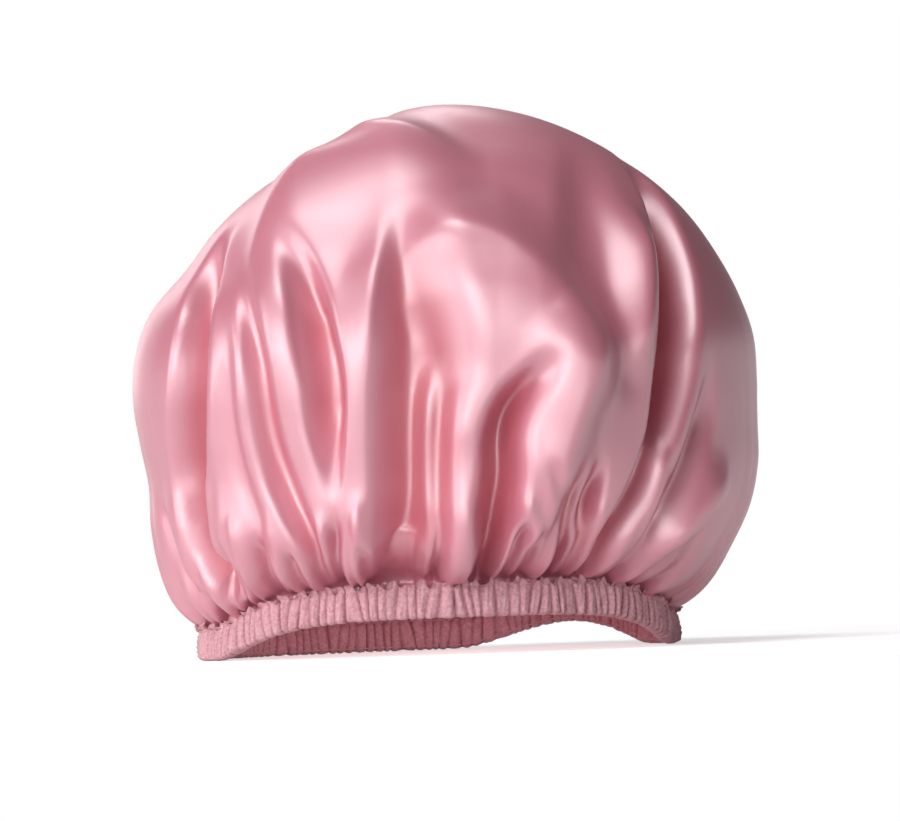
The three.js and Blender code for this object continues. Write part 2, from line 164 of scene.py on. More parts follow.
# A valley runs along a path of (across, height) places from the band up. left and right are its widths on
# the two sides, and floor says how flat its bottom is on the wider one: 1 is a crease, 2 round, 4 flat.
Valley = namedtuple("Valley", "path depth left right floor")
FRONT_VALLEYS = [
    Valley(
        [(-87, 22), (-96, 38), (-100, 57), (-101, 94), (-99, 114), (-95, 132), (-87, 150), (-79, 162)],
        16, 5, 18, 4,
    ),
    Valley([(-60, 24), (-71, 48), (-78, 70), (-81, 90), (-80, 126)], 3, 10, 4, 2),
    Valley(
        [(-50, 20), (-55, 40), (-62.5, 57), (-68, 72), (-71, 87), (-72, 102), (-74, 132), (-75, 149)],
        9, 5, 11, 3,
    ),
    Valley(
        [(-42, 54), (-42.5, 79), (-42.5, 102), (-45, 119), (-48, 136), (-52, 150), (-56, 158)],
        13, 14, 5, 4,
    ),
    Valley([(-44, 14), (-45, 34), (-43, 50)], 6, 4, 4, 2),
    Valley([(-24, 14), (-20, 36), (-17, 57), (-15, 94), (-14, 115), (-14, 136), (-12, 168)], 18, 17, 36, 2),
    Valley([(-5, 16), (-4, 34), (-3, 57), (-1, 76), (1, 94)], 7, 5, 5, 2),
    Valley(
        [(15, 14), (18.5, 49), (21, 64), (21.5, 76), (24, 85), (28.5, 93), (34, 100), (41, 109)],
        18, 12, 9, 2,
    ),
    Valley([(39, 52), (39, 60), (36, 70)], 3, 4, 3, 2),
    Valley([(37, 20), (38, 36), (41, 48), (44, 64)], 8, 3.5, 3.5, 2),
    Valley([(25, 16), (26, 34), (29, 50)], 8, 5, 4, 2),
    Valley([(32, 14), (33, 32), (35, 46)], 10, 5, 4, 2),
    Valley([(44, 14), (46, 46), (51, 70)], 12, 7, 4, 2),
    Valley([(50, 16), (53, 50), (58, 70)], 11, 6, 4, 2),
    Valley([(57, 20), (60, 38), (65, 50)], 12, 6, 5, 2),
    Valley([(55, 20), (61, 38), (68, 49), (74, 60), (78, 72), (81, 90)], 12, 8, 7, 2),
    Valley(
        [(72, 58), (78, 76), (82, 94), (85, 113), (86, 132), (84.5, 150), (79.5, 167), (69, 184)],
        25, 5, 15, 4,
    ),
    Valley([(66, 24), (73, 36), (82, 49), (91, 68), (97, 87), (100, 106)], 7, 6, 10, 2),
    Valley([(-90, 12), (-102, 33), (-110, 64)], 5, 6, 5, 2),
    Valley([(-79, 14), (-84, 28), (-89, 44)], 7, 5, 5, 2),
    Valley([(-69, 14), (-71, 28), (-75, 46)], 9, 5, 4, 2),
    Valley([(-59.5, 14), (-60, 26), (-63, 40)], 9, 4, 4, 2),
    Valley([(-33, 14), (-33, 28), (-36, 44)], 8, 4, 4, 2),
    Valley([(71, 84), (65, 108), (61, 128), (58, 150), (54, 190)], 4.5, 22, 23, 2),
]
# On the back and sides a path has (azimuth, height) places instead.
BACK_VALLEYS = [
    Valley([(16, 10), (18, 95), (20, 140)], 9, 20, 14, 2),
    Valley([(36, 12), (39, 95), (41, 165)], 12, 24, 12, 2.5),
    Valley([(48, 20), (46, 62), (52, 98)], 7, 9, 6, 2),
    Valley([(58, 12), (60, 95), (62, 125)], 9, 20, 9, 2),
    Valley([(72, 10), (69, 50), (74, 92)], 7, 10, 6, 2),
    Valley([(84, 8), (85, 95), (86, 170)], 13, 24, 14, 2.5),
    Valley([(97, 8), (100, 45), (95, 84)], 6, 9, 5, 2),
    Valley([(112, 8), (110, 95), (108, 130)], 9, 22, 10, 2),
    Valley([(124, 8), (122, 50), (128, 96)], 7, 9, 6, 2),
    Valley([(138, 8), (135, 95), (132, 160)], 12, 24, 12, 2.5),
    Valley([(158, 8), (160, 95), (164, 145)], 9, 20, 14, 2),
    Valley([(176, 10), (179, 50), (174, 92)], 6, 9, 7, 2),
    Valley([(2, 12), (4, 50), (-2, 94)], 6, 9, 7, 2),
]

# A swell is a rise along a path: its height, its widths on the two sides, and how round its crest is.
Swell = namedtuple("Swell", "path rise left right crest")
FRONT_SWELLS = [
    Swell([(3, 22), (1, 57), (3, 79), (7, 94), (16, 105)], 6, 7, 12, 2),
    Swell([(72, 94), (75, 113), (77, 132), (76, 150), (71, 168)], 6, 18, 6, 1.6),
    Swell([(72, 30), (87, 44), (98, 56), (106, 70)], 7, 14, 12, 1.6),
    Swell([(-75, 20), (-78, 34), (-84, 56)], 4, 5, 5, 1.6),
    Swell([(-64, 20), (-66, 34), (-72, 54)], 4, 5, 5, 1.6),
    Swell([(33, 28), (31, 43), (26, 60)], 4, 4, 4, 1.6),
    Swell([(45, 26), (51, 40), (58, 54)], 4, 4, 4, 1.6),
    Swell([(-11, 24), (-10, 48), (-9, 75), (-7, 94), (-4, 114)], 5, 8, 6, 1.8),
    Swell([(-47, 22), (-47, 36), (-50, 54)], 4, 4, 4, 1.6),
    Swell([(-37, 22), (-35, 38), (-36, 60)], 4, 4, 5, 1.6),
    Swell(
        [(34, 26), (37, 48), (41, 68), (46, 85), (52, 99), (56, 114), (52, 130), (42, 140)],
        11, 30, 16, 1.6,
    ),
]
# A brow is the upper edge of a puff: its line from left to right, its rise, its spread above and below, and
# how round its crest is.
Brow = namedtuple("Brow", "path rise above below crest")
FRONT_BROWS = [
    Brow([(-40, 138), (-14, 146.5), (7, 153), (22, 148), (39, 133), (57, 113), (72, 90)], 10, 25, 46, 1.4),
    Brow(
        [(-86, 108), (-70, 145), (-62, 162), (-51, 175), (-40, 185), (-27, 190), (-12, 190), (20, 180)],
        10, 15, 42, 1.3,
    ),
]

# Dyes and tints, with painted shade for the satin's folds and the casing's grooves, as red, green and blue of
# 0 to 255
SATIN_LIGHT, SATIN_DEEP, SATIN_FOLD_SHADE = (200, 117, 135), (191, 107, 125), (194, 88, 101)
SATIN_SHINE, SATIN_SHEEN = (255, 243, 247), (255, 225, 232)
RUFFLE_DYE, RUFFLE_FLECK, RUFFLE_GROOVE_SHADE = (180, 100, 114), (242, 203, 211), (140, 62, 74)
TAPE_LIGHT, TAPE_DEEP = (238, 228, 224), (222, 206, 202)
THREAD_LIGHT, THREAD_DEEP = (226, 176, 184), (206, 146, 156)
FLOOR_PALE = (228, 226, 226)
THROUGH_SATIN = (255, 226, 230)

# Finishes: low and high of a value, and then what they become
FOLD_SHADE_SPAN = 4.0, 12.0, 0.0, 0.7  # depth of a fold in millimetres to its share of the painted fold shade
# share of groove between the gathers to its share of the painted groove shade
GROOVE_SHADE_SPAN = 0.3, 0.9, 0.0, 0.95
SATIN_ROUGHNESS = 0.2, 0.8, 0.38, 0.46  # noise to roughness
RUFFLE_ROUGHNESS = 0.2, 0.8, 0.55, 0.8
WEFT_HEIGHT = 0.4  # height of the threads under the long floats, as a share of theirs

# Studio, in metres and watts
FLOOR_REACH = 12.0
SHADOW_REACH = 0.2, 0.5  # from the middle, between which the floor goes from shaded to plain white
NEAR_GLOW = 0.5  # how white the floor is by itself where it keeps the shadow
WHITE_REACH = 0.07, 0.2  # upward part of a ray between which the background goes from white to dim
STUDIO_DIM = (0.08, 0.078, 0.078, 1)
WHITE, BLACK = (1, 1, 1, 1), (0.0, 0.0, 0.0, 1.0)
LAMP_AIM = (0, 0, 0.1)
# Name, place, width and height, and power of each softbox
SOFTBOXES = [
    ("low_softbox", (-1.1, -1.83, 0.63), (1.7, 1.0), 31),
    ("side_softbox", (-2.15, -0.5, 0.6), (0.8, 1.0), 15),
    ("high_softbox", (-0.51, -0.82, 2.08), (1.2, 0.9), 24),
    ("left_strip", (-0.9, 1.93, 0.7), (0.5, 1.2), 7),
    ("low_fill", (0.3, -2.5, 0.07), (0.6, 0.2), 8),
    ("back_strip", (-0.1, 1.4, 1.25), (0.5, 0.1), 4),
]
INSIDE_PLACE, INSIDE_RADIUS, INSIDE_POWER = (0.0, 0.0, 0.09), 0.05, 0.12


def smooth_through(at, knots, values):
    """Cubic Hermite curve through values at knots, with each slope taken from the neighbouring values."""
    knots, values = np.asarray(knots, float), np.asarray(values, float)
    slopes = np.gradient(values, knots, axis=0)
    i = np.clip(np.searchsorted(knots, at) - 1, 0, len(knots) - 2)
    width = knots[i + 1] - knots[i]
    t = np.clip((at - knots[i]) / width, 0, 1)
    if values.ndim > 1:
        width, t = width[..., None], t[..., None]
    start = values[i] * (1 + 2 * t) * (1 - t) ** 2 + slopes[i] * width * t * (1 - t) ** 2
    end = values[i + 1] * t**2 * (3 - 2 * t) + slopes[i + 1] * width * t**2 * (t - 1)
    return start + end


def ease(x, low, high):
    """Smooth step: 0 below low, 1 above high."""
    t = np.clip((x - low) / (high - low), 0, 1)
    return t * t * (3 - 2 * t)


def waves(a, terms):
    """Sum of sine waves round the band: size * sin(number * a + start) for each of the terms."""
    return sum(size * np.sin(number * a + start) for size, number, start in terms)


def arch(azimuth, rise, middle, half, power):
    """rise * (1 - t^power)^2, where t is the angle from the middle azimuth over half the spread, at most 1;
    a higher power makes the arch flatter on top."""
    away = (azimuth - middle + 180) % 360 - 180
    t = np.minimum(1, np.abs(away) / half)
    return rise * (1 - t**power) ** 2


def band_low(azimuth):
    """Height of the band's lower edge: a long flat arch in front and a short one at the right of the back."""
    return arch(azimuth, *FRONT_ARCH) + arch(azimuth, *SIDE_ARCH)


front_low = np.array(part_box("casing_front")[0]) / MM
rear_low, rear_high = (np.array(corner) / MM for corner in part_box("casing_rear"))
BAND_X = (rear_low[0] + rear_high[0]) / 2
BAND_HALF_X = (rear_high[0] - rear_low[0]) / 2 - CASING_CREST
BAND_BACK = rear_high[1] - CASING_CREST - OVERLAP_ROOM
BAND_FRONT = front_low[1] + CASING_CREST
BAND_Y = (BAND_BACK + BAND_FRONT) / 2
BAND_HALF_Y = (BAND_BACK - BAND_FRONT) / 2
CROWN_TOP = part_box("crown")[1].z / MM


def band_point(azimuth, out, up):
    """A point beside the band's middle line, an ellipse: out along its normal, up above the lower edge."""
    a = np.radians(azimuth)
    normal = np.stack([np.cos(a) / BAND_HALF_X, np.sin(a) / BAND_HALF_Y], axis=-1)
    normal /= np.linalg.norm(normal, axis=-1, keepdims=True)
    return np.stack(
        [
            BAND_X + BAND_HALF_X * np.cos(a) + out * normal[..., 0],
            BAND_Y + BAND_HALF_Y * np.sin(a) + out * normal[..., 1],
            band_low(azimuth) + up,
        ],
        axis=-1,
    )


def band_length(azimuth):
    """Length of the band's middle line from azimuth 0 to each azimuth, summed in small steps."""
    speed = np.hypot(BAND_HALF_X * np.sin(BAND_TURNS), BAND_HALF_Y * np.cos(BAND_TURNS))
    length = np.concatenate([[0], np.cumsum((speed[1:] + speed[:-1]) / 2 * np.diff(BAND_TURNS))])
    run = np.interp(np.radians(azimuth), BAND_TURNS, length)
    return run - np.interp(0, BAND_TURNS, length)


def overlap_share(azimuth):
    """1 over the lapped ends of the tape at the back, falling to 0 along the ramps beside it."""
    away = np.abs(band_length(azimuth) - band_length(REAR_CENTRE))
    return 1 - ease(away, OVERLAP_HALF, OVERLAP_HALF + OVERLAP_RAMP)


def outline_at(height):
    """Middle and half width of the crown at a height; the curve's parameter is the root of the depth below
    the top, so that the dome closes round."""
    rows = np.array(OUTLINE[::-1], float)
    knots = np.sqrt(np.maximum(0, 1 - rows[:, 0] / CROWN_TOP))
    at = np.sqrt(np.clip(1 - height / CROWN_TOP, 0, 1))
    left = smooth_through(at, knots, rows[:, 1])
    right = smooth_through(at, knots, rows[:, 2])
    return (left + right) / 2, (right - left) / 2


def rim_height(azimuth):
    """Height of the cloth's edge, which lies inside the casing's frill."""
    return band_low(azimuth) + RIM_UP


def crown_base(azimuth, height):
    """The smooth crown: at each height an ellipse of the outline's width, drawn in to the band's ellipse by
    an exponential tuck above the rim."""
    a = np.radians(azimuth)
    tuck = np.exp(-np.maximum(0, height - rim_height(azimuth) - HEADER_HOLD) / TUCK)
    middle, half = outline_at(height)
    x = middle + (BAND_X - middle) * tuck
    half_x = half + (BAND_HALF_X - half) * tuck
    half_y = half * DEPTH_SHARE + (BAND_HALF_Y - half * DEPTH_SHARE) * tuck
    return np.stack([x + half_x * np.cos(a), BAND_Y + half_y * np.sin(a), height], axis=-1)


def crown_grid():
    """Azimuths and heights of the crown's grid: columns closer at the front, rows spaced along the meridian
    and closer at the band. Also returns each row's distance from the top along the meridian."""
    turn = np.arange(CROWN_COLUMNS) / CROWN_COLUMNS * 2 * np.pi
    azimuth = REAR_CENTRE + np.degrees(turn + FRONT_CROWDING * np.sin(turn))
    rim = rim_height(REAR_CENTRE)
    fine = rim + (CROWN_TOP - rim) * np.sin(np.linspace(0, np.pi / 2, MERIDIAN_STEPS)) ** 2
    profile = crown_base(np.full_like(fine, REAR_CENTRE), fine)
    step = np.linalg.norm(np.diff(profile, axis=0), axis=1)
    run = np.concatenate([[0], np.cumsum(step)])
    share = np.arange(CROWN_ROWS) / CROWN_ROWS
    wanted = run[-1] * share**ROW_CROWDING
    climb = (np.interp(wanted, run, fine) - rim) / (CROWN_TOP - rim)
    azimuth = np.repeat(azimuth[:, None], CROWN_ROWS, axis=1)
    rims = rim_height(azimuth)
    return azimuth, rims + (CROWN_TOP - rims) * climb, run[-1] - wanted


def surface_normals(points):
    """Outward unit normals of a grid whose columns close on themselves."""
    around = np.roll(points, -1, axis=0) - np.roll(points, 1, axis=0)
    above = np.gradient(points, axis=1)
    normal = np.cross(around, above)
    return normal / np.maximum(np.linalg.norm(normal, axis=-1, keepdims=True), 1e-9)


def side_azimuth(across, height):
    """Angle from the right-hand side at which the smooth crown has this place across."""
    middle, half = outline_at(height)
    return np.degrees(np.arccos(np.clip((across - middle) / half, -1, 1)))


def on_crown(path, back):
    """A path, smoothed and laid on the smooth crown. Places on the front are as seen by the camera, so they
    are drawn in towards its aim by their nearness to it, which is found again after each pass."""
    path = np.array(path, float)
    run = np.concatenate([[0], np.cumsum(np.linalg.norm(np.diff(path, axis=0), axis=1))])
    seen_across, seen_height = smooth_through(np.linspace(0, run[-1], PATH_PLACES), run, path).T
    if back:
        return crown_base(seen_across, seen_height)
    across, height = seen_across, seen_height
    for _ in range(NEARNESS_PASSES):
        near_by = crown_base(-side_azimuth(across, height), height)[:, 1]
        share = 1 + near_by / CAMERA_DISTANCE
        across = AIM[0] + (seen_across - AIM[0]) * share
        height = AIM[2] + (seen_height - AIM[2]) * share
    return crown_base(-side_azimuth(across, height), height)


def beside_path(points, normals, path):
    """For each point: its distance from a polyline, the share of the way along it of the nearest place, and
    whether it lies on the right of the path as seen from outside."""
    start, run = path[:-1], np.diff(path, axis=0)
    offset = points[:, None] - start
    t = np.clip((offset * run).sum(-1) / (run**2).sum(-1), 0, 1)
    away = offset - t[..., None] * run
    square = (away**2).sum(-1)
    nearest = square.argmin(1)
    rows = np.arange(len(points))
    side = (np.cross(run[nearest], normals) * away[rows, nearest]).sum(-1)
    along = (nearest + t[rows, nearest]) / len(run)
    return np.sqrt(square[rows, nearest]), along, side > 0


def near(points, path, reach):
    """Which points lie in the box round a path."""
    inside = (points > path.min(0) - reach) & (points < path.max(0) + reach)
    return inside.all(-1)


def valley_depth(points, normals, valley, back):
    """Depth of one valley at each point: depth * (1 - t^floor)^rim, where t is the distance over the width on
    that side, and floor is 2 on the narrower side. It is narrower at both ends, and gets its depth over the
    first part of its path and loses it over the last."""
    path = on_crown(valley.path, back)
    depth = np.zeros(len(points))
    close = near(points, path, max(valley.left, valley.right))
    distance, along, right = beside_path(points[close], normals[close], path)
    at_foot, at_head = 1 - ease(along, *FOOT_PART), ease(along, *HEAD_PART)
    share = 1 - (1 - FOOT_WIDTH) * at_foot - (1 - HEAD_WIDTH) * at_head
    t = np.minimum(1, distance / (share * np.where(right, valley.right, valley.left)))
    floor = np.where(right == (valley.right > valley.left), valley.floor, 2)
    start = FOOT_START if path[0, 2] < FOOT_UNDER else FREE_START
    run_out = ease(along, *start) * (1 - ease(along, *VALLEY_END))
    depth[close] = valley.depth * (1 - t**floor) ** VALLEY_RIM * run_out
    return depth


def between_ends(share):
    """1 along the middle of a path, falling to 0 at both of its ends."""
    return ease(share, *RISE_START) * (1 - ease(share, *RISE_END))


def swell_rise(points, normals, swell):
    """Rise of one swell at each point: rise * (1 - t^crest)^2, where t is the distance over the width on that
    side, running out at both ends."""
    path = on_crown(swell.path, back=False)
    rise = np.zeros(len(points))
    close = near(points, path, max(swell.left, swell.right))
    distance, along, right = beside_path(points[close], normals[close], path)
    t = np.minimum(1, distance / np.where(right, swell.right, swell.left))
    rise[close] = swell.rise * (1 - t**swell.crest) ** 2 * between_ends(along)
    return rise


def seen_from_front(points):
    """Places across and up at which the camera sees points, measured at the bonnet's middle."""
    share = 1 + points[:, 1] / CAMERA_DISTANCE
    return AIM[0] + (points[:, 0] - AIM[0]) / share, AIM[2] + (points[:, 2] - AIM[2]) / share


def brow_rise(points, normals, brow):
    """Rise of one brow at each point of the front: rise * (1 - t^crest)^2, where t is the distance above or
    below its line over its spread there, running out at both ends and at the outline."""
    across, height = seen_from_front(points)
    knots, line = np.array(brow.path, float).T
    at = np.clip(across, knots[0], knots[-1])
    slope = smooth_through(at, knots, np.gradient(line, knots))
    below = (smooth_through(at, knots, line) - height) / np.hypot(1, slope)
    t = np.minimum(1, np.where(below > 0, below / brow.below, -below / brow.above))
    share = (across - knots[0]) / (knots[-1] - knots[0])
    run_out = between_ends(share) * ease(-normals[:, 1], *BROW_EDGE)
    return brow.rise * (1 - t**brow.crest) ** 2 * run_out


def gathers(azimuth, above):
    """Small gathers above the band: three orders of |sin| waves about their mean, the finest dying out first,
    and all of them held at the rim."""
    a = np.radians(azimuth)
    stray = waves(a, GATHER_STRAY)
    total = np.zeros_like(a)
    for number, rise, fade in GATHERS:
        wave = np.abs(np.sin(number * (a + stray) / 2)) - 2 / np.pi
        total += rise * wave * np.exp(-above / fade)
    return total * (GATHER_LEAST + (1 - GATHER_LEAST) * ease(above, 0, GATHER_FREE))


def soften(field):
    """A field on the crown's grid, averaged with its neighbours by shares of 1/4, 1/2 and 1/4 each way."""
    field = (np.roll(field, 1, axis=0) + 2 * field + np.roll(field, -1, axis=0)) / 4
    inner = (field[:, :-2] + 2 * field[:, 1:-1] + field[:, 2:]) / 4
    return np.concatenate([field[:, :1], inner, field[:, -1:]], axis=1)


def crown_shape():
    """The crown's grid: the smooth crown, moved along its normals by the softened swells and brows less the
    valleys, and by the gathers. Also returns the valleys' depth, the azimuths and the rows' distances from
    the top."""
    azimuth, height, from_top = crown_grid()
    base = crown_base(azimuth, height)
    normals = surface_normals(base)
    flat_points, flat_normals = base.reshape(-1, 3), normals.reshape(-1, 3)
    total = np.zeros(len(flat_points))
    for valleys, back in ((FRONT_VALLEYS, False), (BACK_VALLEYS, True)):
        for valley in valleys:
            total += valley_depth(flat_points, flat_normals, valley, back) ** VALLEY_JOIN
    depth = total ** (1 / VALLEY_JOIN)
    rise = sum(swell_rise(flat_points, flat_normals, swell) for swell in FRONT_SWELLS)
    rise = rise + sum(brow_rise(flat_points, flat_normals, brow) for brow in FRONT_BROWS)
    above = height - rim_height(azimuth)
    held = 1 - np.exp(-above / FOLD_HOLD)
    move = (rise - depth).reshape(height.shape)
    for _ in range(SOFTENINGS):
        move = soften(move)
    move = move * held + gathers(azimuth, above)
    return base + normals * move[..., None], depth.reshape(height.shape) * held, azimuth, from_top


def strip_quads(columns, rows):
    """Quads between the columns of a grid, the last ones on one column more, as a UV map needs them.
    A vertex's number is column * rows + row, and taken modulo columns * rows it closes the grid on itself."""
    i, j = np.meshgrid(np.arange(columns), np.arange(rows - 1), indexing="ij")
    left, right = i * rows + j, (i + 1) * rows + j
    return np.stack([left, right, right + 1, left + 1], axis=-1).reshape(-1, 4)


def new_piece(name, points, faces, material, uv=None, values=None):
    """A smooth mesh object at the origin, from points in millimetres; uv has one place for each face corner,
    and values are named numbers for each point."""
    mesh = bpy.data.meshes.new(name)
    mesh.from_pydata((np.asarray(points).reshape(-1, 3) * MM).tolist(), [], faces)
    mesh.polygons.foreach_set("use_smooth", np.ones(len(mesh.polygons), bool))
    if uv is not None:
        mesh.uv_layers.new(name="cloth").data.foreach_set("uv", uv.astype(np.float32).ravel())
    for key, numbers in (values or {}).items():
        layer = mesh.attributes.new(key, "FLOAT", "POINT")
        layer.data.foreach_set("value", np.asarray(numbers, np.float32).ravel())
    mesh.materials.append(material)
    mesh.update()
    piece = bpy.data.objects.new(name, mesh)
    bpy.context.scene.collection.objects.link(piece)
    return piece


def make_crown(material):
    """The crown's grid closed at the top by one vertex. Its UV map is the flat round of satin itself."""
    points, depth, azimuth, from_top = crown_shape()
    top = CROWN_COLUMNS * CROWN_ROWS
    quads = strip_quads(CROWN_COLUMNS, CROWN_ROWS) % top
    ring = np.arange(CROWN_COLUMNS) * CROWN_ROWS + CROWN_ROWS - 1
    fan = np.stack([ring, np.roll(ring, -1), np.full(CROWN_COLUMNS, top)], axis=-1)
    peak = points[:, -1].mean(0, keepdims=True)
    peak[0, 2] = points[:, -1, 2].max()
    turn = np.radians(azimuth)
    spread = (from_top / FLAT_ROUND)[None, :, None]
    flat = 0.5 + spread * np.stack([np.cos(turn), np.sin(turn)], axis=-1) * UV_SHARE
    flat = np.concatenate([flat.reshape(-1, 2), [[0.5, 0.5]]])
    uv = np.concatenate([flat[quads.ravel()], flat[fan.ravel()]])
    shape = np.concatenate([points.reshape(-1, 3), peak])
    # The valleys' depth, which the satin's material uses for painted shade in the folds.
    fold = np.append(depth.ravel(), 0)
    return new_piece("crown_satin", shape, quads.tolist() + fan.tolist(), material, uv, {"fold": fold})


def make_casing(material):
    """A strip folded into a U round the tape and gathered: its half thickness swells as the root of a half
    sine between the hem and the crown seam and is pinched at the seam; uneven |sin| ribs with creases run
    round it, and the frill above the seam waves, flares and ends in a ragged edge."""
    columns = RIBS * RIB_COLUMNS
    azimuth = np.arange(columns) / columns * 360
    side = np.linspace(HEADER_TOP, CASING_HALF, SIDE_ROWS)
    bend = np.linspace(np.pi, 2 * np.pi, HEM_ROWS + 2)[1:-1]
    sign = np.concatenate([-np.ones(SIDE_ROWS), np.cos(bend), np.ones(SIDE_ROWS)])
    up = np.concatenate([side, CASING_HALF + CASING_HALF * np.sin(bend), side[::-1]])
    az, sign = np.meshgrid(azimuth, sign, indexing="ij")
    up = np.broadcast_to(up, az.shape)
    a = np.radians(az)
    phase = RIBS * a + waves(a, RIB_STRAY) + waves(a, RIB_LEAN) * (up / CASING_HEIGHT - 0.5)
    crease = np.abs(np.sin(CREASES * phase / 2 + waves(a, CREASE_STRAY)))
    rib = (1 - CREASE_SHARE) * np.abs(np.sin(phase / 2)) ** RIB_FULLNESS + CREASE_SHARE * crease
    strength = 1 + waves(a, RIB_STRENGTH)
    body_share = (up + BODY_UNDER) / (SEAM_UP + BODY_UNDER + BODY_OVER)
    body = np.sin(np.pi * np.clip(body_share, 0, 1)) ** 0.5
    frill = ease(up, SEAM_UP, HEADER_TOP)
    swell = RIB_LEAST + (1 - RIB_LEAST) * np.where(up < SEAM_UP, body, frill)
    half = CASING_HALF - PINCH * (1 - body) + RIB_RISE * rib * strength * swell
    half = half + OVERLAP_ROOM * overlap_share(az) + FLARE * frill**2
    first, second, third = (np.sin(number * a + slant * up) for number, slant in CRUMPLE_WAVES)
    crumple = CRUMPLE * first * second + FINE_CRUMPLE * third
    out = sign * (half + crumple) + FRILL_WAVE * frill * np.sin(phase + FRILL_LEAD)
    at_hem = HEM_NOTCH * (1 - rib) * np.exp(-up / HEM_NOTCH_FADE)
    at_frill = (waves(a, FRILL_EDGE) - FRILL_NOTCH * (1 - rib)) * frill
    points = band_point(az, out, up + (at_hem + at_frill))
    rows = up.shape[1]
    quads = strip_quads(columns, rows)
    u, v = np.meshgrid(np.arange(columns + 1) / columns, np.arange(rows) / (rows - 1), indexing="ij")
    uv = np.stack([u, v], axis=-1).reshape(-1, 2)[quads.ravel()]
    faces = (quads % (columns * rows)).tolist()
    # The groove share is 1 - rib, which the casing's material uses for painted shade between the gathers.
    return new_piece("casing_ruffle", points, faces, material, uv, {"groove": 1 - rib})


def make_tape(material):
    """The elastic tape: a flat section carried once round the band, its ends lapped at the back and each
    moved to its own side there."""
    lap = OVERLAP_HALF / band_length(1.0) * BAND_HALF_Y / BAND_HALF_X
    azimuth = np.linspace(REAR_CENTRE - lap, REAR_CENTRE + 360 + lap, TAPE_SECTIONS)
    side = np.where(azimuth < REAR_CENTRE + 180, 1, -1)
    round_back = (azimuth - REAR_CENTRE + 180) % 360 + REAR_CENTRE - 180
    aside = side * TAPE_SHIFT * overlap_share(round_back)
    corner = np.array(TAPE_CORNERS, float)
    corners = len(corner)
    out = aside[:, None] + corner[:, 0] * TAPE_THICKNESS / 2
    up = TAPE_LOW + np.broadcast_to(corner[:, 1] * TAPE_WIDTH, out.shape)
    points = band_point(np.repeat(azimuth[:, None], corners, axis=1), out, up)
    i, j = np.meshgrid(np.arange(TAPE_SECTIONS - 1), np.arange(corners), indexing="ij")
    here, after = i * corners, (i + 1) * corners
    k = (j + 1) % corners
    quads = np.stack([here + j, after + j, after + k, here + k], axis=-1).reshape(-1, 4)
    first = np.arange(corners)
    ends = [first.tolist(), (first[::-1] + (TAPE_SECTIONS - 1) * corners).tolist()]
    u, v = i / TAPE_SECTIONS, j / corners
    next_u, next_v = (i + 1) / TAPE_SECTIONS, (j + 1) / corners
    uv = np.stack([u, v, next_u, v, next_u, next_v, u, next_v], axis=-1).reshape(-1, 2)
    uv = np.concatenate([uv, np.zeros((2 * corners, 2))])
    return new_piece("elastic_tape", points, quads.tolist() + ends, material, uv)


def make_stitches(name, up, material):
    """A row of stitches along the casing's inner side: each is a bead of five six-sided rings, laid along
    the band on the crests of the gathers."""
    total = band_length(360.0)
    count = int(total // STITCH_PITCH)
    fine = np.linspace(0, 360, 3601)  # tenths of a degree
    azimuth = np.interp((np.arange(count) + 0.5) / count * total, band_length(fine), fine)
    along, thick = np.array(STITCH_RINGS).T[:, None, :, None]
    along = along * STITCH_LENGTH
    thick = thick * STITCH_THICK / 2
    turn = np.arange(STITCH_SIDES) / STITCH_SIDES * 2 * np.pi
    crest = CASING_CREST + STITCH_OUT + OVERLAP_ROOM * overlap_share(azimuth)
    az = azimuth[:, None, None] + along / (total / 360)
    out = -(crest[:, None, None]) + thick * np.cos(turn)
    lift = up + thick * np.sin(turn)
    points = band_point(*np.broadcast_arrays(az, out, lift))
    rings, sides = len(STITCH_RINGS), STITCH_SIDES
    size = rings * sides
    i, j, k = np.meshgrid(np.arange(count), np.arange(rings - 1), np.arange(sides), indexing="ij")
    ring = i * size + j * sides
    first, second = ring + k, ring + (k + 1) % sides
    quads = np.stack([first, second, second + sides, first + sides], axis=-1).reshape(-1, 4)
    ends = np.concatenate([np.arange(sides)[::-1], np.arange(size - sides, size)])
    caps = (np.arange(count)[:, None] * size + ends).reshape(-1, sides)
    return new_piece(name, points, quads.tolist() + caps.tolist(), material)


def node_group(name, inputs, outputs):
    """An empty shader node group with the given sockets; returns it with its input and output nodes."""
    group = bpy.data.node_groups.new(name, "ShaderNodeTree")
    for label, kind, value in inputs:
        socket = group.interface.new_socket(label, in_out="INPUT", socket_type=kind)
        if value is not None:
            socket.default_value = value
    for label, kind in outputs:
        group.interface.new_socket(label, in_out="OUTPUT", socket_type=kind)
    return group, group.nodes.new("NodeGroupInput"), group.nodes.new("NodeGroupOutput")


def math_node(tree, operation, first, second=None):
    """A Math node; each of its values is a number or a socket."""
    node = tree.nodes.new("ShaderNodeMath")
    node.operation = operation
    for socket, value in zip(node.inputs, (first, second)):
        if isinstance(value, (int, float)):
            socket.default_value = value
        elif value is not None:
            tree.links.new(value, socket)
    return node.outputs[0]


def colour_mix(tree, factor, first, second):
    """A Mix node for colours; each of the two is a colour or a socket."""
    node = tree.nodes.new("ShaderNodeMix")
    node.data_type = "RGBA"
    tree.links.new(factor, node.inputs["Factor"])
    for key, value in (("A", first), ("B", second)):
        if isinstance(value, tuple):
            node.inputs[key].default_value = value
        else:
            tree.links.new(value, node.inputs[key])
    return node.outputs["Result"]


def map_range(tree, value, low, high, to_low, to_high):
    """A value that runs from low to high, brought to run from to_low to to_high."""
    node = tree.nodes.new("ShaderNodeMapRange")
    tree.links.new(value, node.inputs["Value"])
    limits = {"From Min": low, "From Max": high, "To Min": to_low, "To Max": to_high}
    for key, limit in limits.items():
        node.inputs[key].default_value = limit
    return node.outputs["Result"]


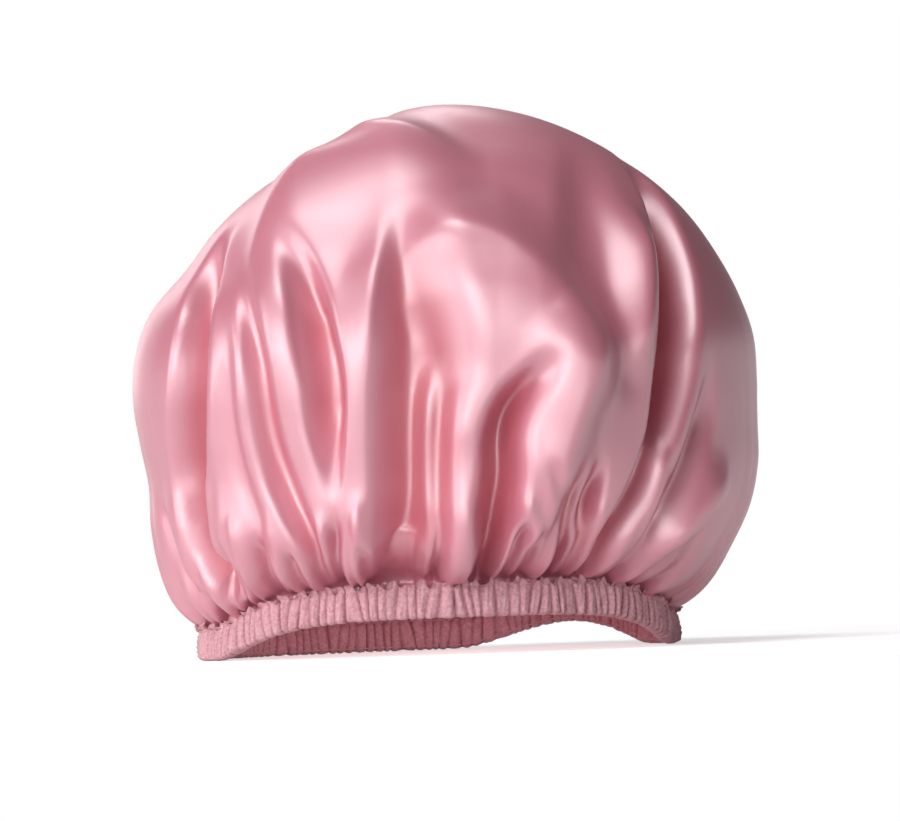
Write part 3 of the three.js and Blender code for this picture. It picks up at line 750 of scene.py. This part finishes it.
def seen_rays(tree):
    """1 for camera, glossy and transmission rays, and 0 for the rays that carry light to matt surfaces."""
    path = tree.nodes.new("ShaderNodeLightPath")
    seen = math_node(tree, "MAXIMUM", path.outputs["Is Camera Ray"], path.outputs["Is Glossy Ray"])
    return math_node(tree, "MAXIMUM", seen, path.outputs["Is Transmission Ray"])


def ridges(tree, place):
    """|sin(pi * place)|: one ridge for each whole number."""
    wave = math_node(tree, "SINE", math_node(tree, "MULTIPLY", place, math.pi))
    return math_node(tree, "ABSOLUTE", wave)


def weave_group():
    """Threads that cross: |sin| of the two places, the long floats higher than the threads under them."""
    group, enter, leave = node_group(
        "weave",
        [
            ("Place", "NodeSocketVector", None),
            ("Threads", "NodeSocketFloat", 600.0),
            ("Float", "NodeSocketFloat", 4.0),
        ],
        [("Height", "NodeSocketFloat")],
    )
    split = group.nodes.new("ShaderNodeSeparateXYZ")
    group.links.new(enter.outputs["Place"], split.inputs[0])
    across = math_node(group, "MULTIPLY", split.outputs["X"], enter.outputs["Threads"])
    along = math_node(group, "MULTIPLY", split.outputs["Y"], enter.outputs["Threads"])
    along = math_node(group, "DIVIDE", along, enter.outputs["Float"])
    weft = math_node(group, "MULTIPLY", ridges(group, along), WEFT_HEIGHT)
    height = math_node(group, "ADD", ridges(group, across), weft)
    group.links.new(height, leave.inputs["Height"])
    return group


def mottle_group():
    """Uneven dye: two colours mixed by soft noise, and the noise itself."""
    group, enter, leave = node_group(
        "mottle",
        [
            ("Place", "NodeSocketVector", None),
            ("Scale", "NodeSocketFloat", 40.0),
            ("Light", "NodeSocketColor", WHITE),
            ("Deep", "NodeSocketColor", BLACK),
        ],
        [("Colour", "NodeSocketColor"), ("Noise", "NodeSocketFloat")],
    )
    noise = group.nodes.new("ShaderNodeTexNoise")
    noise.inputs["Detail"].default_value = 4
    group.links.new(enter.outputs["Place"], noise.inputs["Vector"])
    group.links.new(enter.outputs["Scale"], noise.inputs["Scale"])
    colour = colour_mix(group, noise.outputs["Fac"], enter.outputs["Light"], enter.outputs["Deep"])
    group.links.new(colour, leave.inputs["Colour"])
    group.links.new(noise.outputs["Fac"], leave.inputs["Noise"])
    return group


def linear(red, green, blue):
    """A colour of 0 to 255 as Blender's linear values, by the sRGB curve."""
    share = np.array([red, green, blue]) / 255
    value = np.where(share <= 0.04045, share / 12.92, ((share + 0.055) / 1.055) ** 2.4)
    return (*value.tolist(), 1.0)


class Finish:
    """A material with its Principled shader, and short ways to add nodes to it."""

    def __init__(self, name):
        self.material = bpy.data.materials.new(name)
        self.material.use_nodes = True
        self.tree = self.material.node_tree
        self.shader = self.tree.nodes["Principled BSDF"]

    def node(self, kind, **values):
        made = self.tree.nodes.new(kind)
        self.set(made, values)
        return made

    def set(self, node, values):
        for key, value in values.items():
            node.inputs[key].default_value = value

    def link(self, start, end):
        self.tree.links.new(start, end)

    def feed(self, name, socket):
        self.link(socket, self.shader.inputs[name])

    def group(self, group, place, **values):
        made = self.tree.nodes.new("ShaderNodeGroup")
        made.node_tree = group
        self.link(place, made.inputs["Place"])
        self.set(made, values)
        return made

    def uv(self):
        made = self.tree.nodes.new("ShaderNodeUVMap")
        made.uv_map = "cloth"
        return made.outputs["UV"]

    def object_place(self):
        return self.tree.nodes.new("ShaderNodeTexCoord").outputs["Object"]

    def attribute(self, name):
        made = self.tree.nodes.new("ShaderNodeAttribute")
        made.attribute_name = name
        return made.outputs["Fac"]

    def span(self, value, low, high, to_low, to_high):
        return map_range(self.tree, value, low, high, to_low, to_high)

    def blend(self, factor, first, second):
        return colour_mix(self.tree, factor, first, second)

    def bump(self, height, strength, distance):
        made = self.node("ShaderNodeBump", Strength=strength, Distance=distance)
        self.link(height, made.inputs["Height"])
        return made.outputs["Normal"]


WEAVE = weave_group()
MOTTLE = mottle_group()


def satin_finish():
    """Glossy dusty pink satin with painted shade that makes it deeper and redder in the folds, a fine weave
    and a soft sheen.
    """
    finish = Finish("dusty_pink_satin")
    place = finish.object_place()
    dye = finish.group(MOTTLE, place, Scale=14.0, Light=linear(*SATIN_LIGHT), Deep=linear(*SATIN_DEEP))
    # Painted shade: the deeper a fold, the more its colour goes to the darker, redder fold colour.
    folded = finish.span(finish.attribute("fold"), *FOLD_SHADE_SPAN)
    finish.feed("Base Color", finish.blend(folded, dye.outputs["Colour"], linear(*SATIN_FOLD_SHADE)))
    finish.feed("Roughness", finish.span(dye.outputs["Noise"], *SATIN_ROUGHNESS))
    weave = finish.group(WEAVE, finish.uv(), Threads=1500.0, Float=5.0)
    finish.feed("Normal", finish.bump(weave.outputs["Height"], strength=0.12, distance=0.00005))
    gloss = {"IOR": 2.0, "Specular IOR Level": 1.0, "Specular Tint": linear(*SATIN_SHINE)}
    sheen = {"Sheen Weight": 0.05, "Sheen Roughness": 0.4, "Sheen Tint": linear(*SATIN_SHEEN)}
    finish.set(finish.shader, {**gloss, **sheen})
    return finish.material


def ruffle_finish():
    """Matt crinkled cloth of the casing: light flecks, fine creases, and painted shade that darkens the
    grooves between gathers.
    """
    finish = Finish("crinkled_ruffle")
    place = finish.object_place()
    dye = finish.group(MOTTLE, place, Scale=900.0, Light=linear(*RUFFLE_DYE), Deep=linear(*RUFFLE_FLECK))
    # Painted shade: the grooves between the gathers go to a darker colour.
    groove_shade = finish.span(finish.attribute("groove"), *GROOVE_SHADE_SPAN)
    finish.feed("Base Color", finish.blend(groove_shade, dye.outputs["Colour"], linear(*RUFFLE_GROOVE_SHADE)))
    finish.feed("Roughness", finish.span(dye.outputs["Noise"], *RUFFLE_ROUGHNESS))
    crease = finish.node("ShaderNodeTexNoise", Scale=700.0, Detail=5.0, Roughness=0.65)
    finish.link(place, crease.inputs["Vector"])
    finish.feed("Normal", finish.bump(crease.outputs["Fac"], strength=0.7, distance=0.0008))
    finish.set(finish.shader, {"Sheen Weight": 0.2})
    return finish.material


def tape_finish():
    """Braided off-white elastic: threads that cross, with a little uneven dye."""
    finish = Finish("braided_elastic")
    place = finish.object_place()
    dye = finish.group(MOTTLE, place, Scale=300.0, Light=linear(*TAPE_LIGHT), Deep=linear(*TAPE_DEEP))
    finish.feed("Base Color", dye.outputs["Colour"])
    weave = finish.group(WEAVE, finish.uv(), Threads=300.0, Float=4.0)
    finish.feed("Normal", finish.bump(weave.outputs["Height"], strength=0.5, distance=0.0003))
    finish.set(finish.shader, {"Roughness": 0.85})
    return finish.material


def thread_finish():
    """Spun pink thread: fine twist lines and a little uneven dye."""
    finish = Finish("spun_thread")
    place = finish.object_place()
    dye = finish.group(MOTTLE, place, Scale=1500.0, Light=linear(*THREAD_LIGHT), Deep=linear(*THREAD_DEEP))
    finish.feed("Base Color", dye.outputs["Colour"])
    twist = finish.node("ShaderNodeTexWave", Scale=900.0, Distortion=2.0)
    finish.link(place, twist.inputs["Vector"])
    finish.feed("Normal", finish.bump(twist.outputs["Fac"], strength=0.4, distance=0.0001))
    finish.set(finish.shader, {"Roughness": 0.6})
    return finish.material


def make_floor():
    """A wide pale floor that keeps the shadow near the bonnet and is plain white farther away."""
    mesh = bpy.data.meshes.new("floor")
    corners = np.array([(-1, -1, 0), (1, -1, 0), (1, 1, 0), (-1, 1, 0)]) * FLOOR_REACH
    mesh.from_pydata(corners.tolist(), [], [[0, 1, 2, 3]])
    floor = bpy.data.objects.new("floor", mesh)
    finish = Finish("pale_floor")
    away = finish.tree.nodes.new("ShaderNodeVectorMath")
    away.operation = "LENGTH"
    finish.link(finish.object_place(), away.inputs[0])
    far = finish.span(away.outputs["Value"], *SHADOW_REACH, 0.0, 1.0)
    finish.feed("Base Color", finish.blend(far, linear(*FLOOR_PALE), BLACK))
    finish.set(finish.shader, {"Roughness": 0.9, "Specular IOR Level": 0.0, "Emission Color": WHITE})
    glow = finish.span(far, 0.0, 1.0, NEAR_GLOW, 1.0)
    finish.feed("Emission Strength", math_node(finish.tree, "MULTIPLY", seen_rays(finish.tree), glow))
    mesh.materials.append(finish.material)
    bpy.context.scene.collection.objects.link(floor)


def make_world():
    """A dim, even studio. Camera, glossy and transmission rays see it white near the horizon."""
    world = bpy.data.worlds.new("studio")
    world.use_nodes = True
    tree = world.node_tree
    split = tree.nodes.new("ShaderNodeSeparateXYZ")
    tree.links.new(tree.nodes.new("ShaderNodeTexCoord").outputs["Generated"], split.inputs[0])
    low = map_range(tree, split.outputs["Z"], *WHITE_REACH, 1.0, 0.0)
    white = math_node(tree, "MULTIPLY", seen_rays(tree), low)
    tree.links.new(colour_mix(tree, white, STUDIO_DIM, WHITE), tree.nodes["Background"].inputs["Color"])
    bpy.context.scene.world = world


def softbox(name, place, size, power):
    """A rectangular area lamp that faces the bonnet's middle."""
    lamp = bpy.data.lights.new(name, "AREA")
    lamp.shape = "RECTANGLE"
    lamp.size, lamp.size_y = size
    lamp.energy = power
    holder = bpy.data.objects.new(name, lamp)
    holder.location = place
    aim = Vector(LAMP_AIM) - Vector(place)
    holder.rotation_euler = aim.to_track_quat("-Z", "Y").to_euler()
    bpy.context.scene.collection.objects.link(holder)


def light_inside(name):
    """A weak round lamp inside the crown, for the light that comes through its thin satin."""
    lamp = bpy.data.lights.new(name, "POINT")
    lamp.shadow_soft_size = INSIDE_RADIUS
    lamp.energy = INSIDE_POWER
    lamp.color = linear(*THROUGH_SATIN)[:3]
    holder = bpy.data.objects.new(name, lamp)
    holder.location = INSIDE_PLACE
    bpy.context.scene.collection.objects.link(holder)


def make_camera():
    """A long lens at the photograph's angle, rolled as the picture leans."""
    lens = bpy.data.cameras.new("camera")
    lens.sensor_width = SENSOR
    lens.lens = SENSOR * CAMERA_DISTANCE / (PHOTO_WIDTH * SCALE)
    lens.clip_start, lens.clip_end = CLIP_START, CLIP_END
    camera = bpy.data.objects.new("camera", lens)
    tilt = math.radians(LOOK_DOWN)
    back = Vector((0, -math.cos(tilt), math.sin(tilt)))
    camera.location = (Vector(AIM) + back * CAMERA_DISTANCE) * MM
    camera.rotation_mode = "QUATERNION"
    level = (-back).to_track_quat("-Z", "Y")
    camera.rotation_quaternion = level @ Quaternion((0, 0, 1), -math.radians(CAMERA_ROLL))
    bpy.context.scene.collection.objects.link(camera)
    bpy.context.scene.camera = camera


def stretches(piece):
    """Bakes the piece's placement into its mesh and leaves the piece at the origin."""
    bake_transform(piece)


satin, ruffle, tape, thread = satin_finish(), ruffle_finish(), tape_finish(), thread_finish()

crown = make_crown(satin)
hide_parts("crown")

casing = make_casing(ruffle)
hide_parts("casing_front", "casing_rear")

elastic = make_tape(tape)
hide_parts("elastic_front", "elastic_rear_left", "elastic_rear_right")

crown_seam = make_stitches("crown_seam_stitches", SEAM_UP, thread)
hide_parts("crown_seam_thread_front", "crown_seam_thread_rear")
hem_seam = make_stitches("hem_stitches", HEM_UP, thread)
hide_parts("hem_thread_front", "hem_thread_rear")

for piece in (crown, casing, elastic, crown_seam, hem_seam):
    stretches(piece)

for name in ("elastic_join_thread", "casing_join_thread"):
    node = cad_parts[name]
    node.data.materials.clear()
    node.data.materials.append(thread)

make_floor()
make_world()
for lamp in SOFTBOXES:
    softbox(*lamp)
light_inside("light_through_satin")
make_camera()

bpy.context.scene.view_settings.view_transform = "Standard"
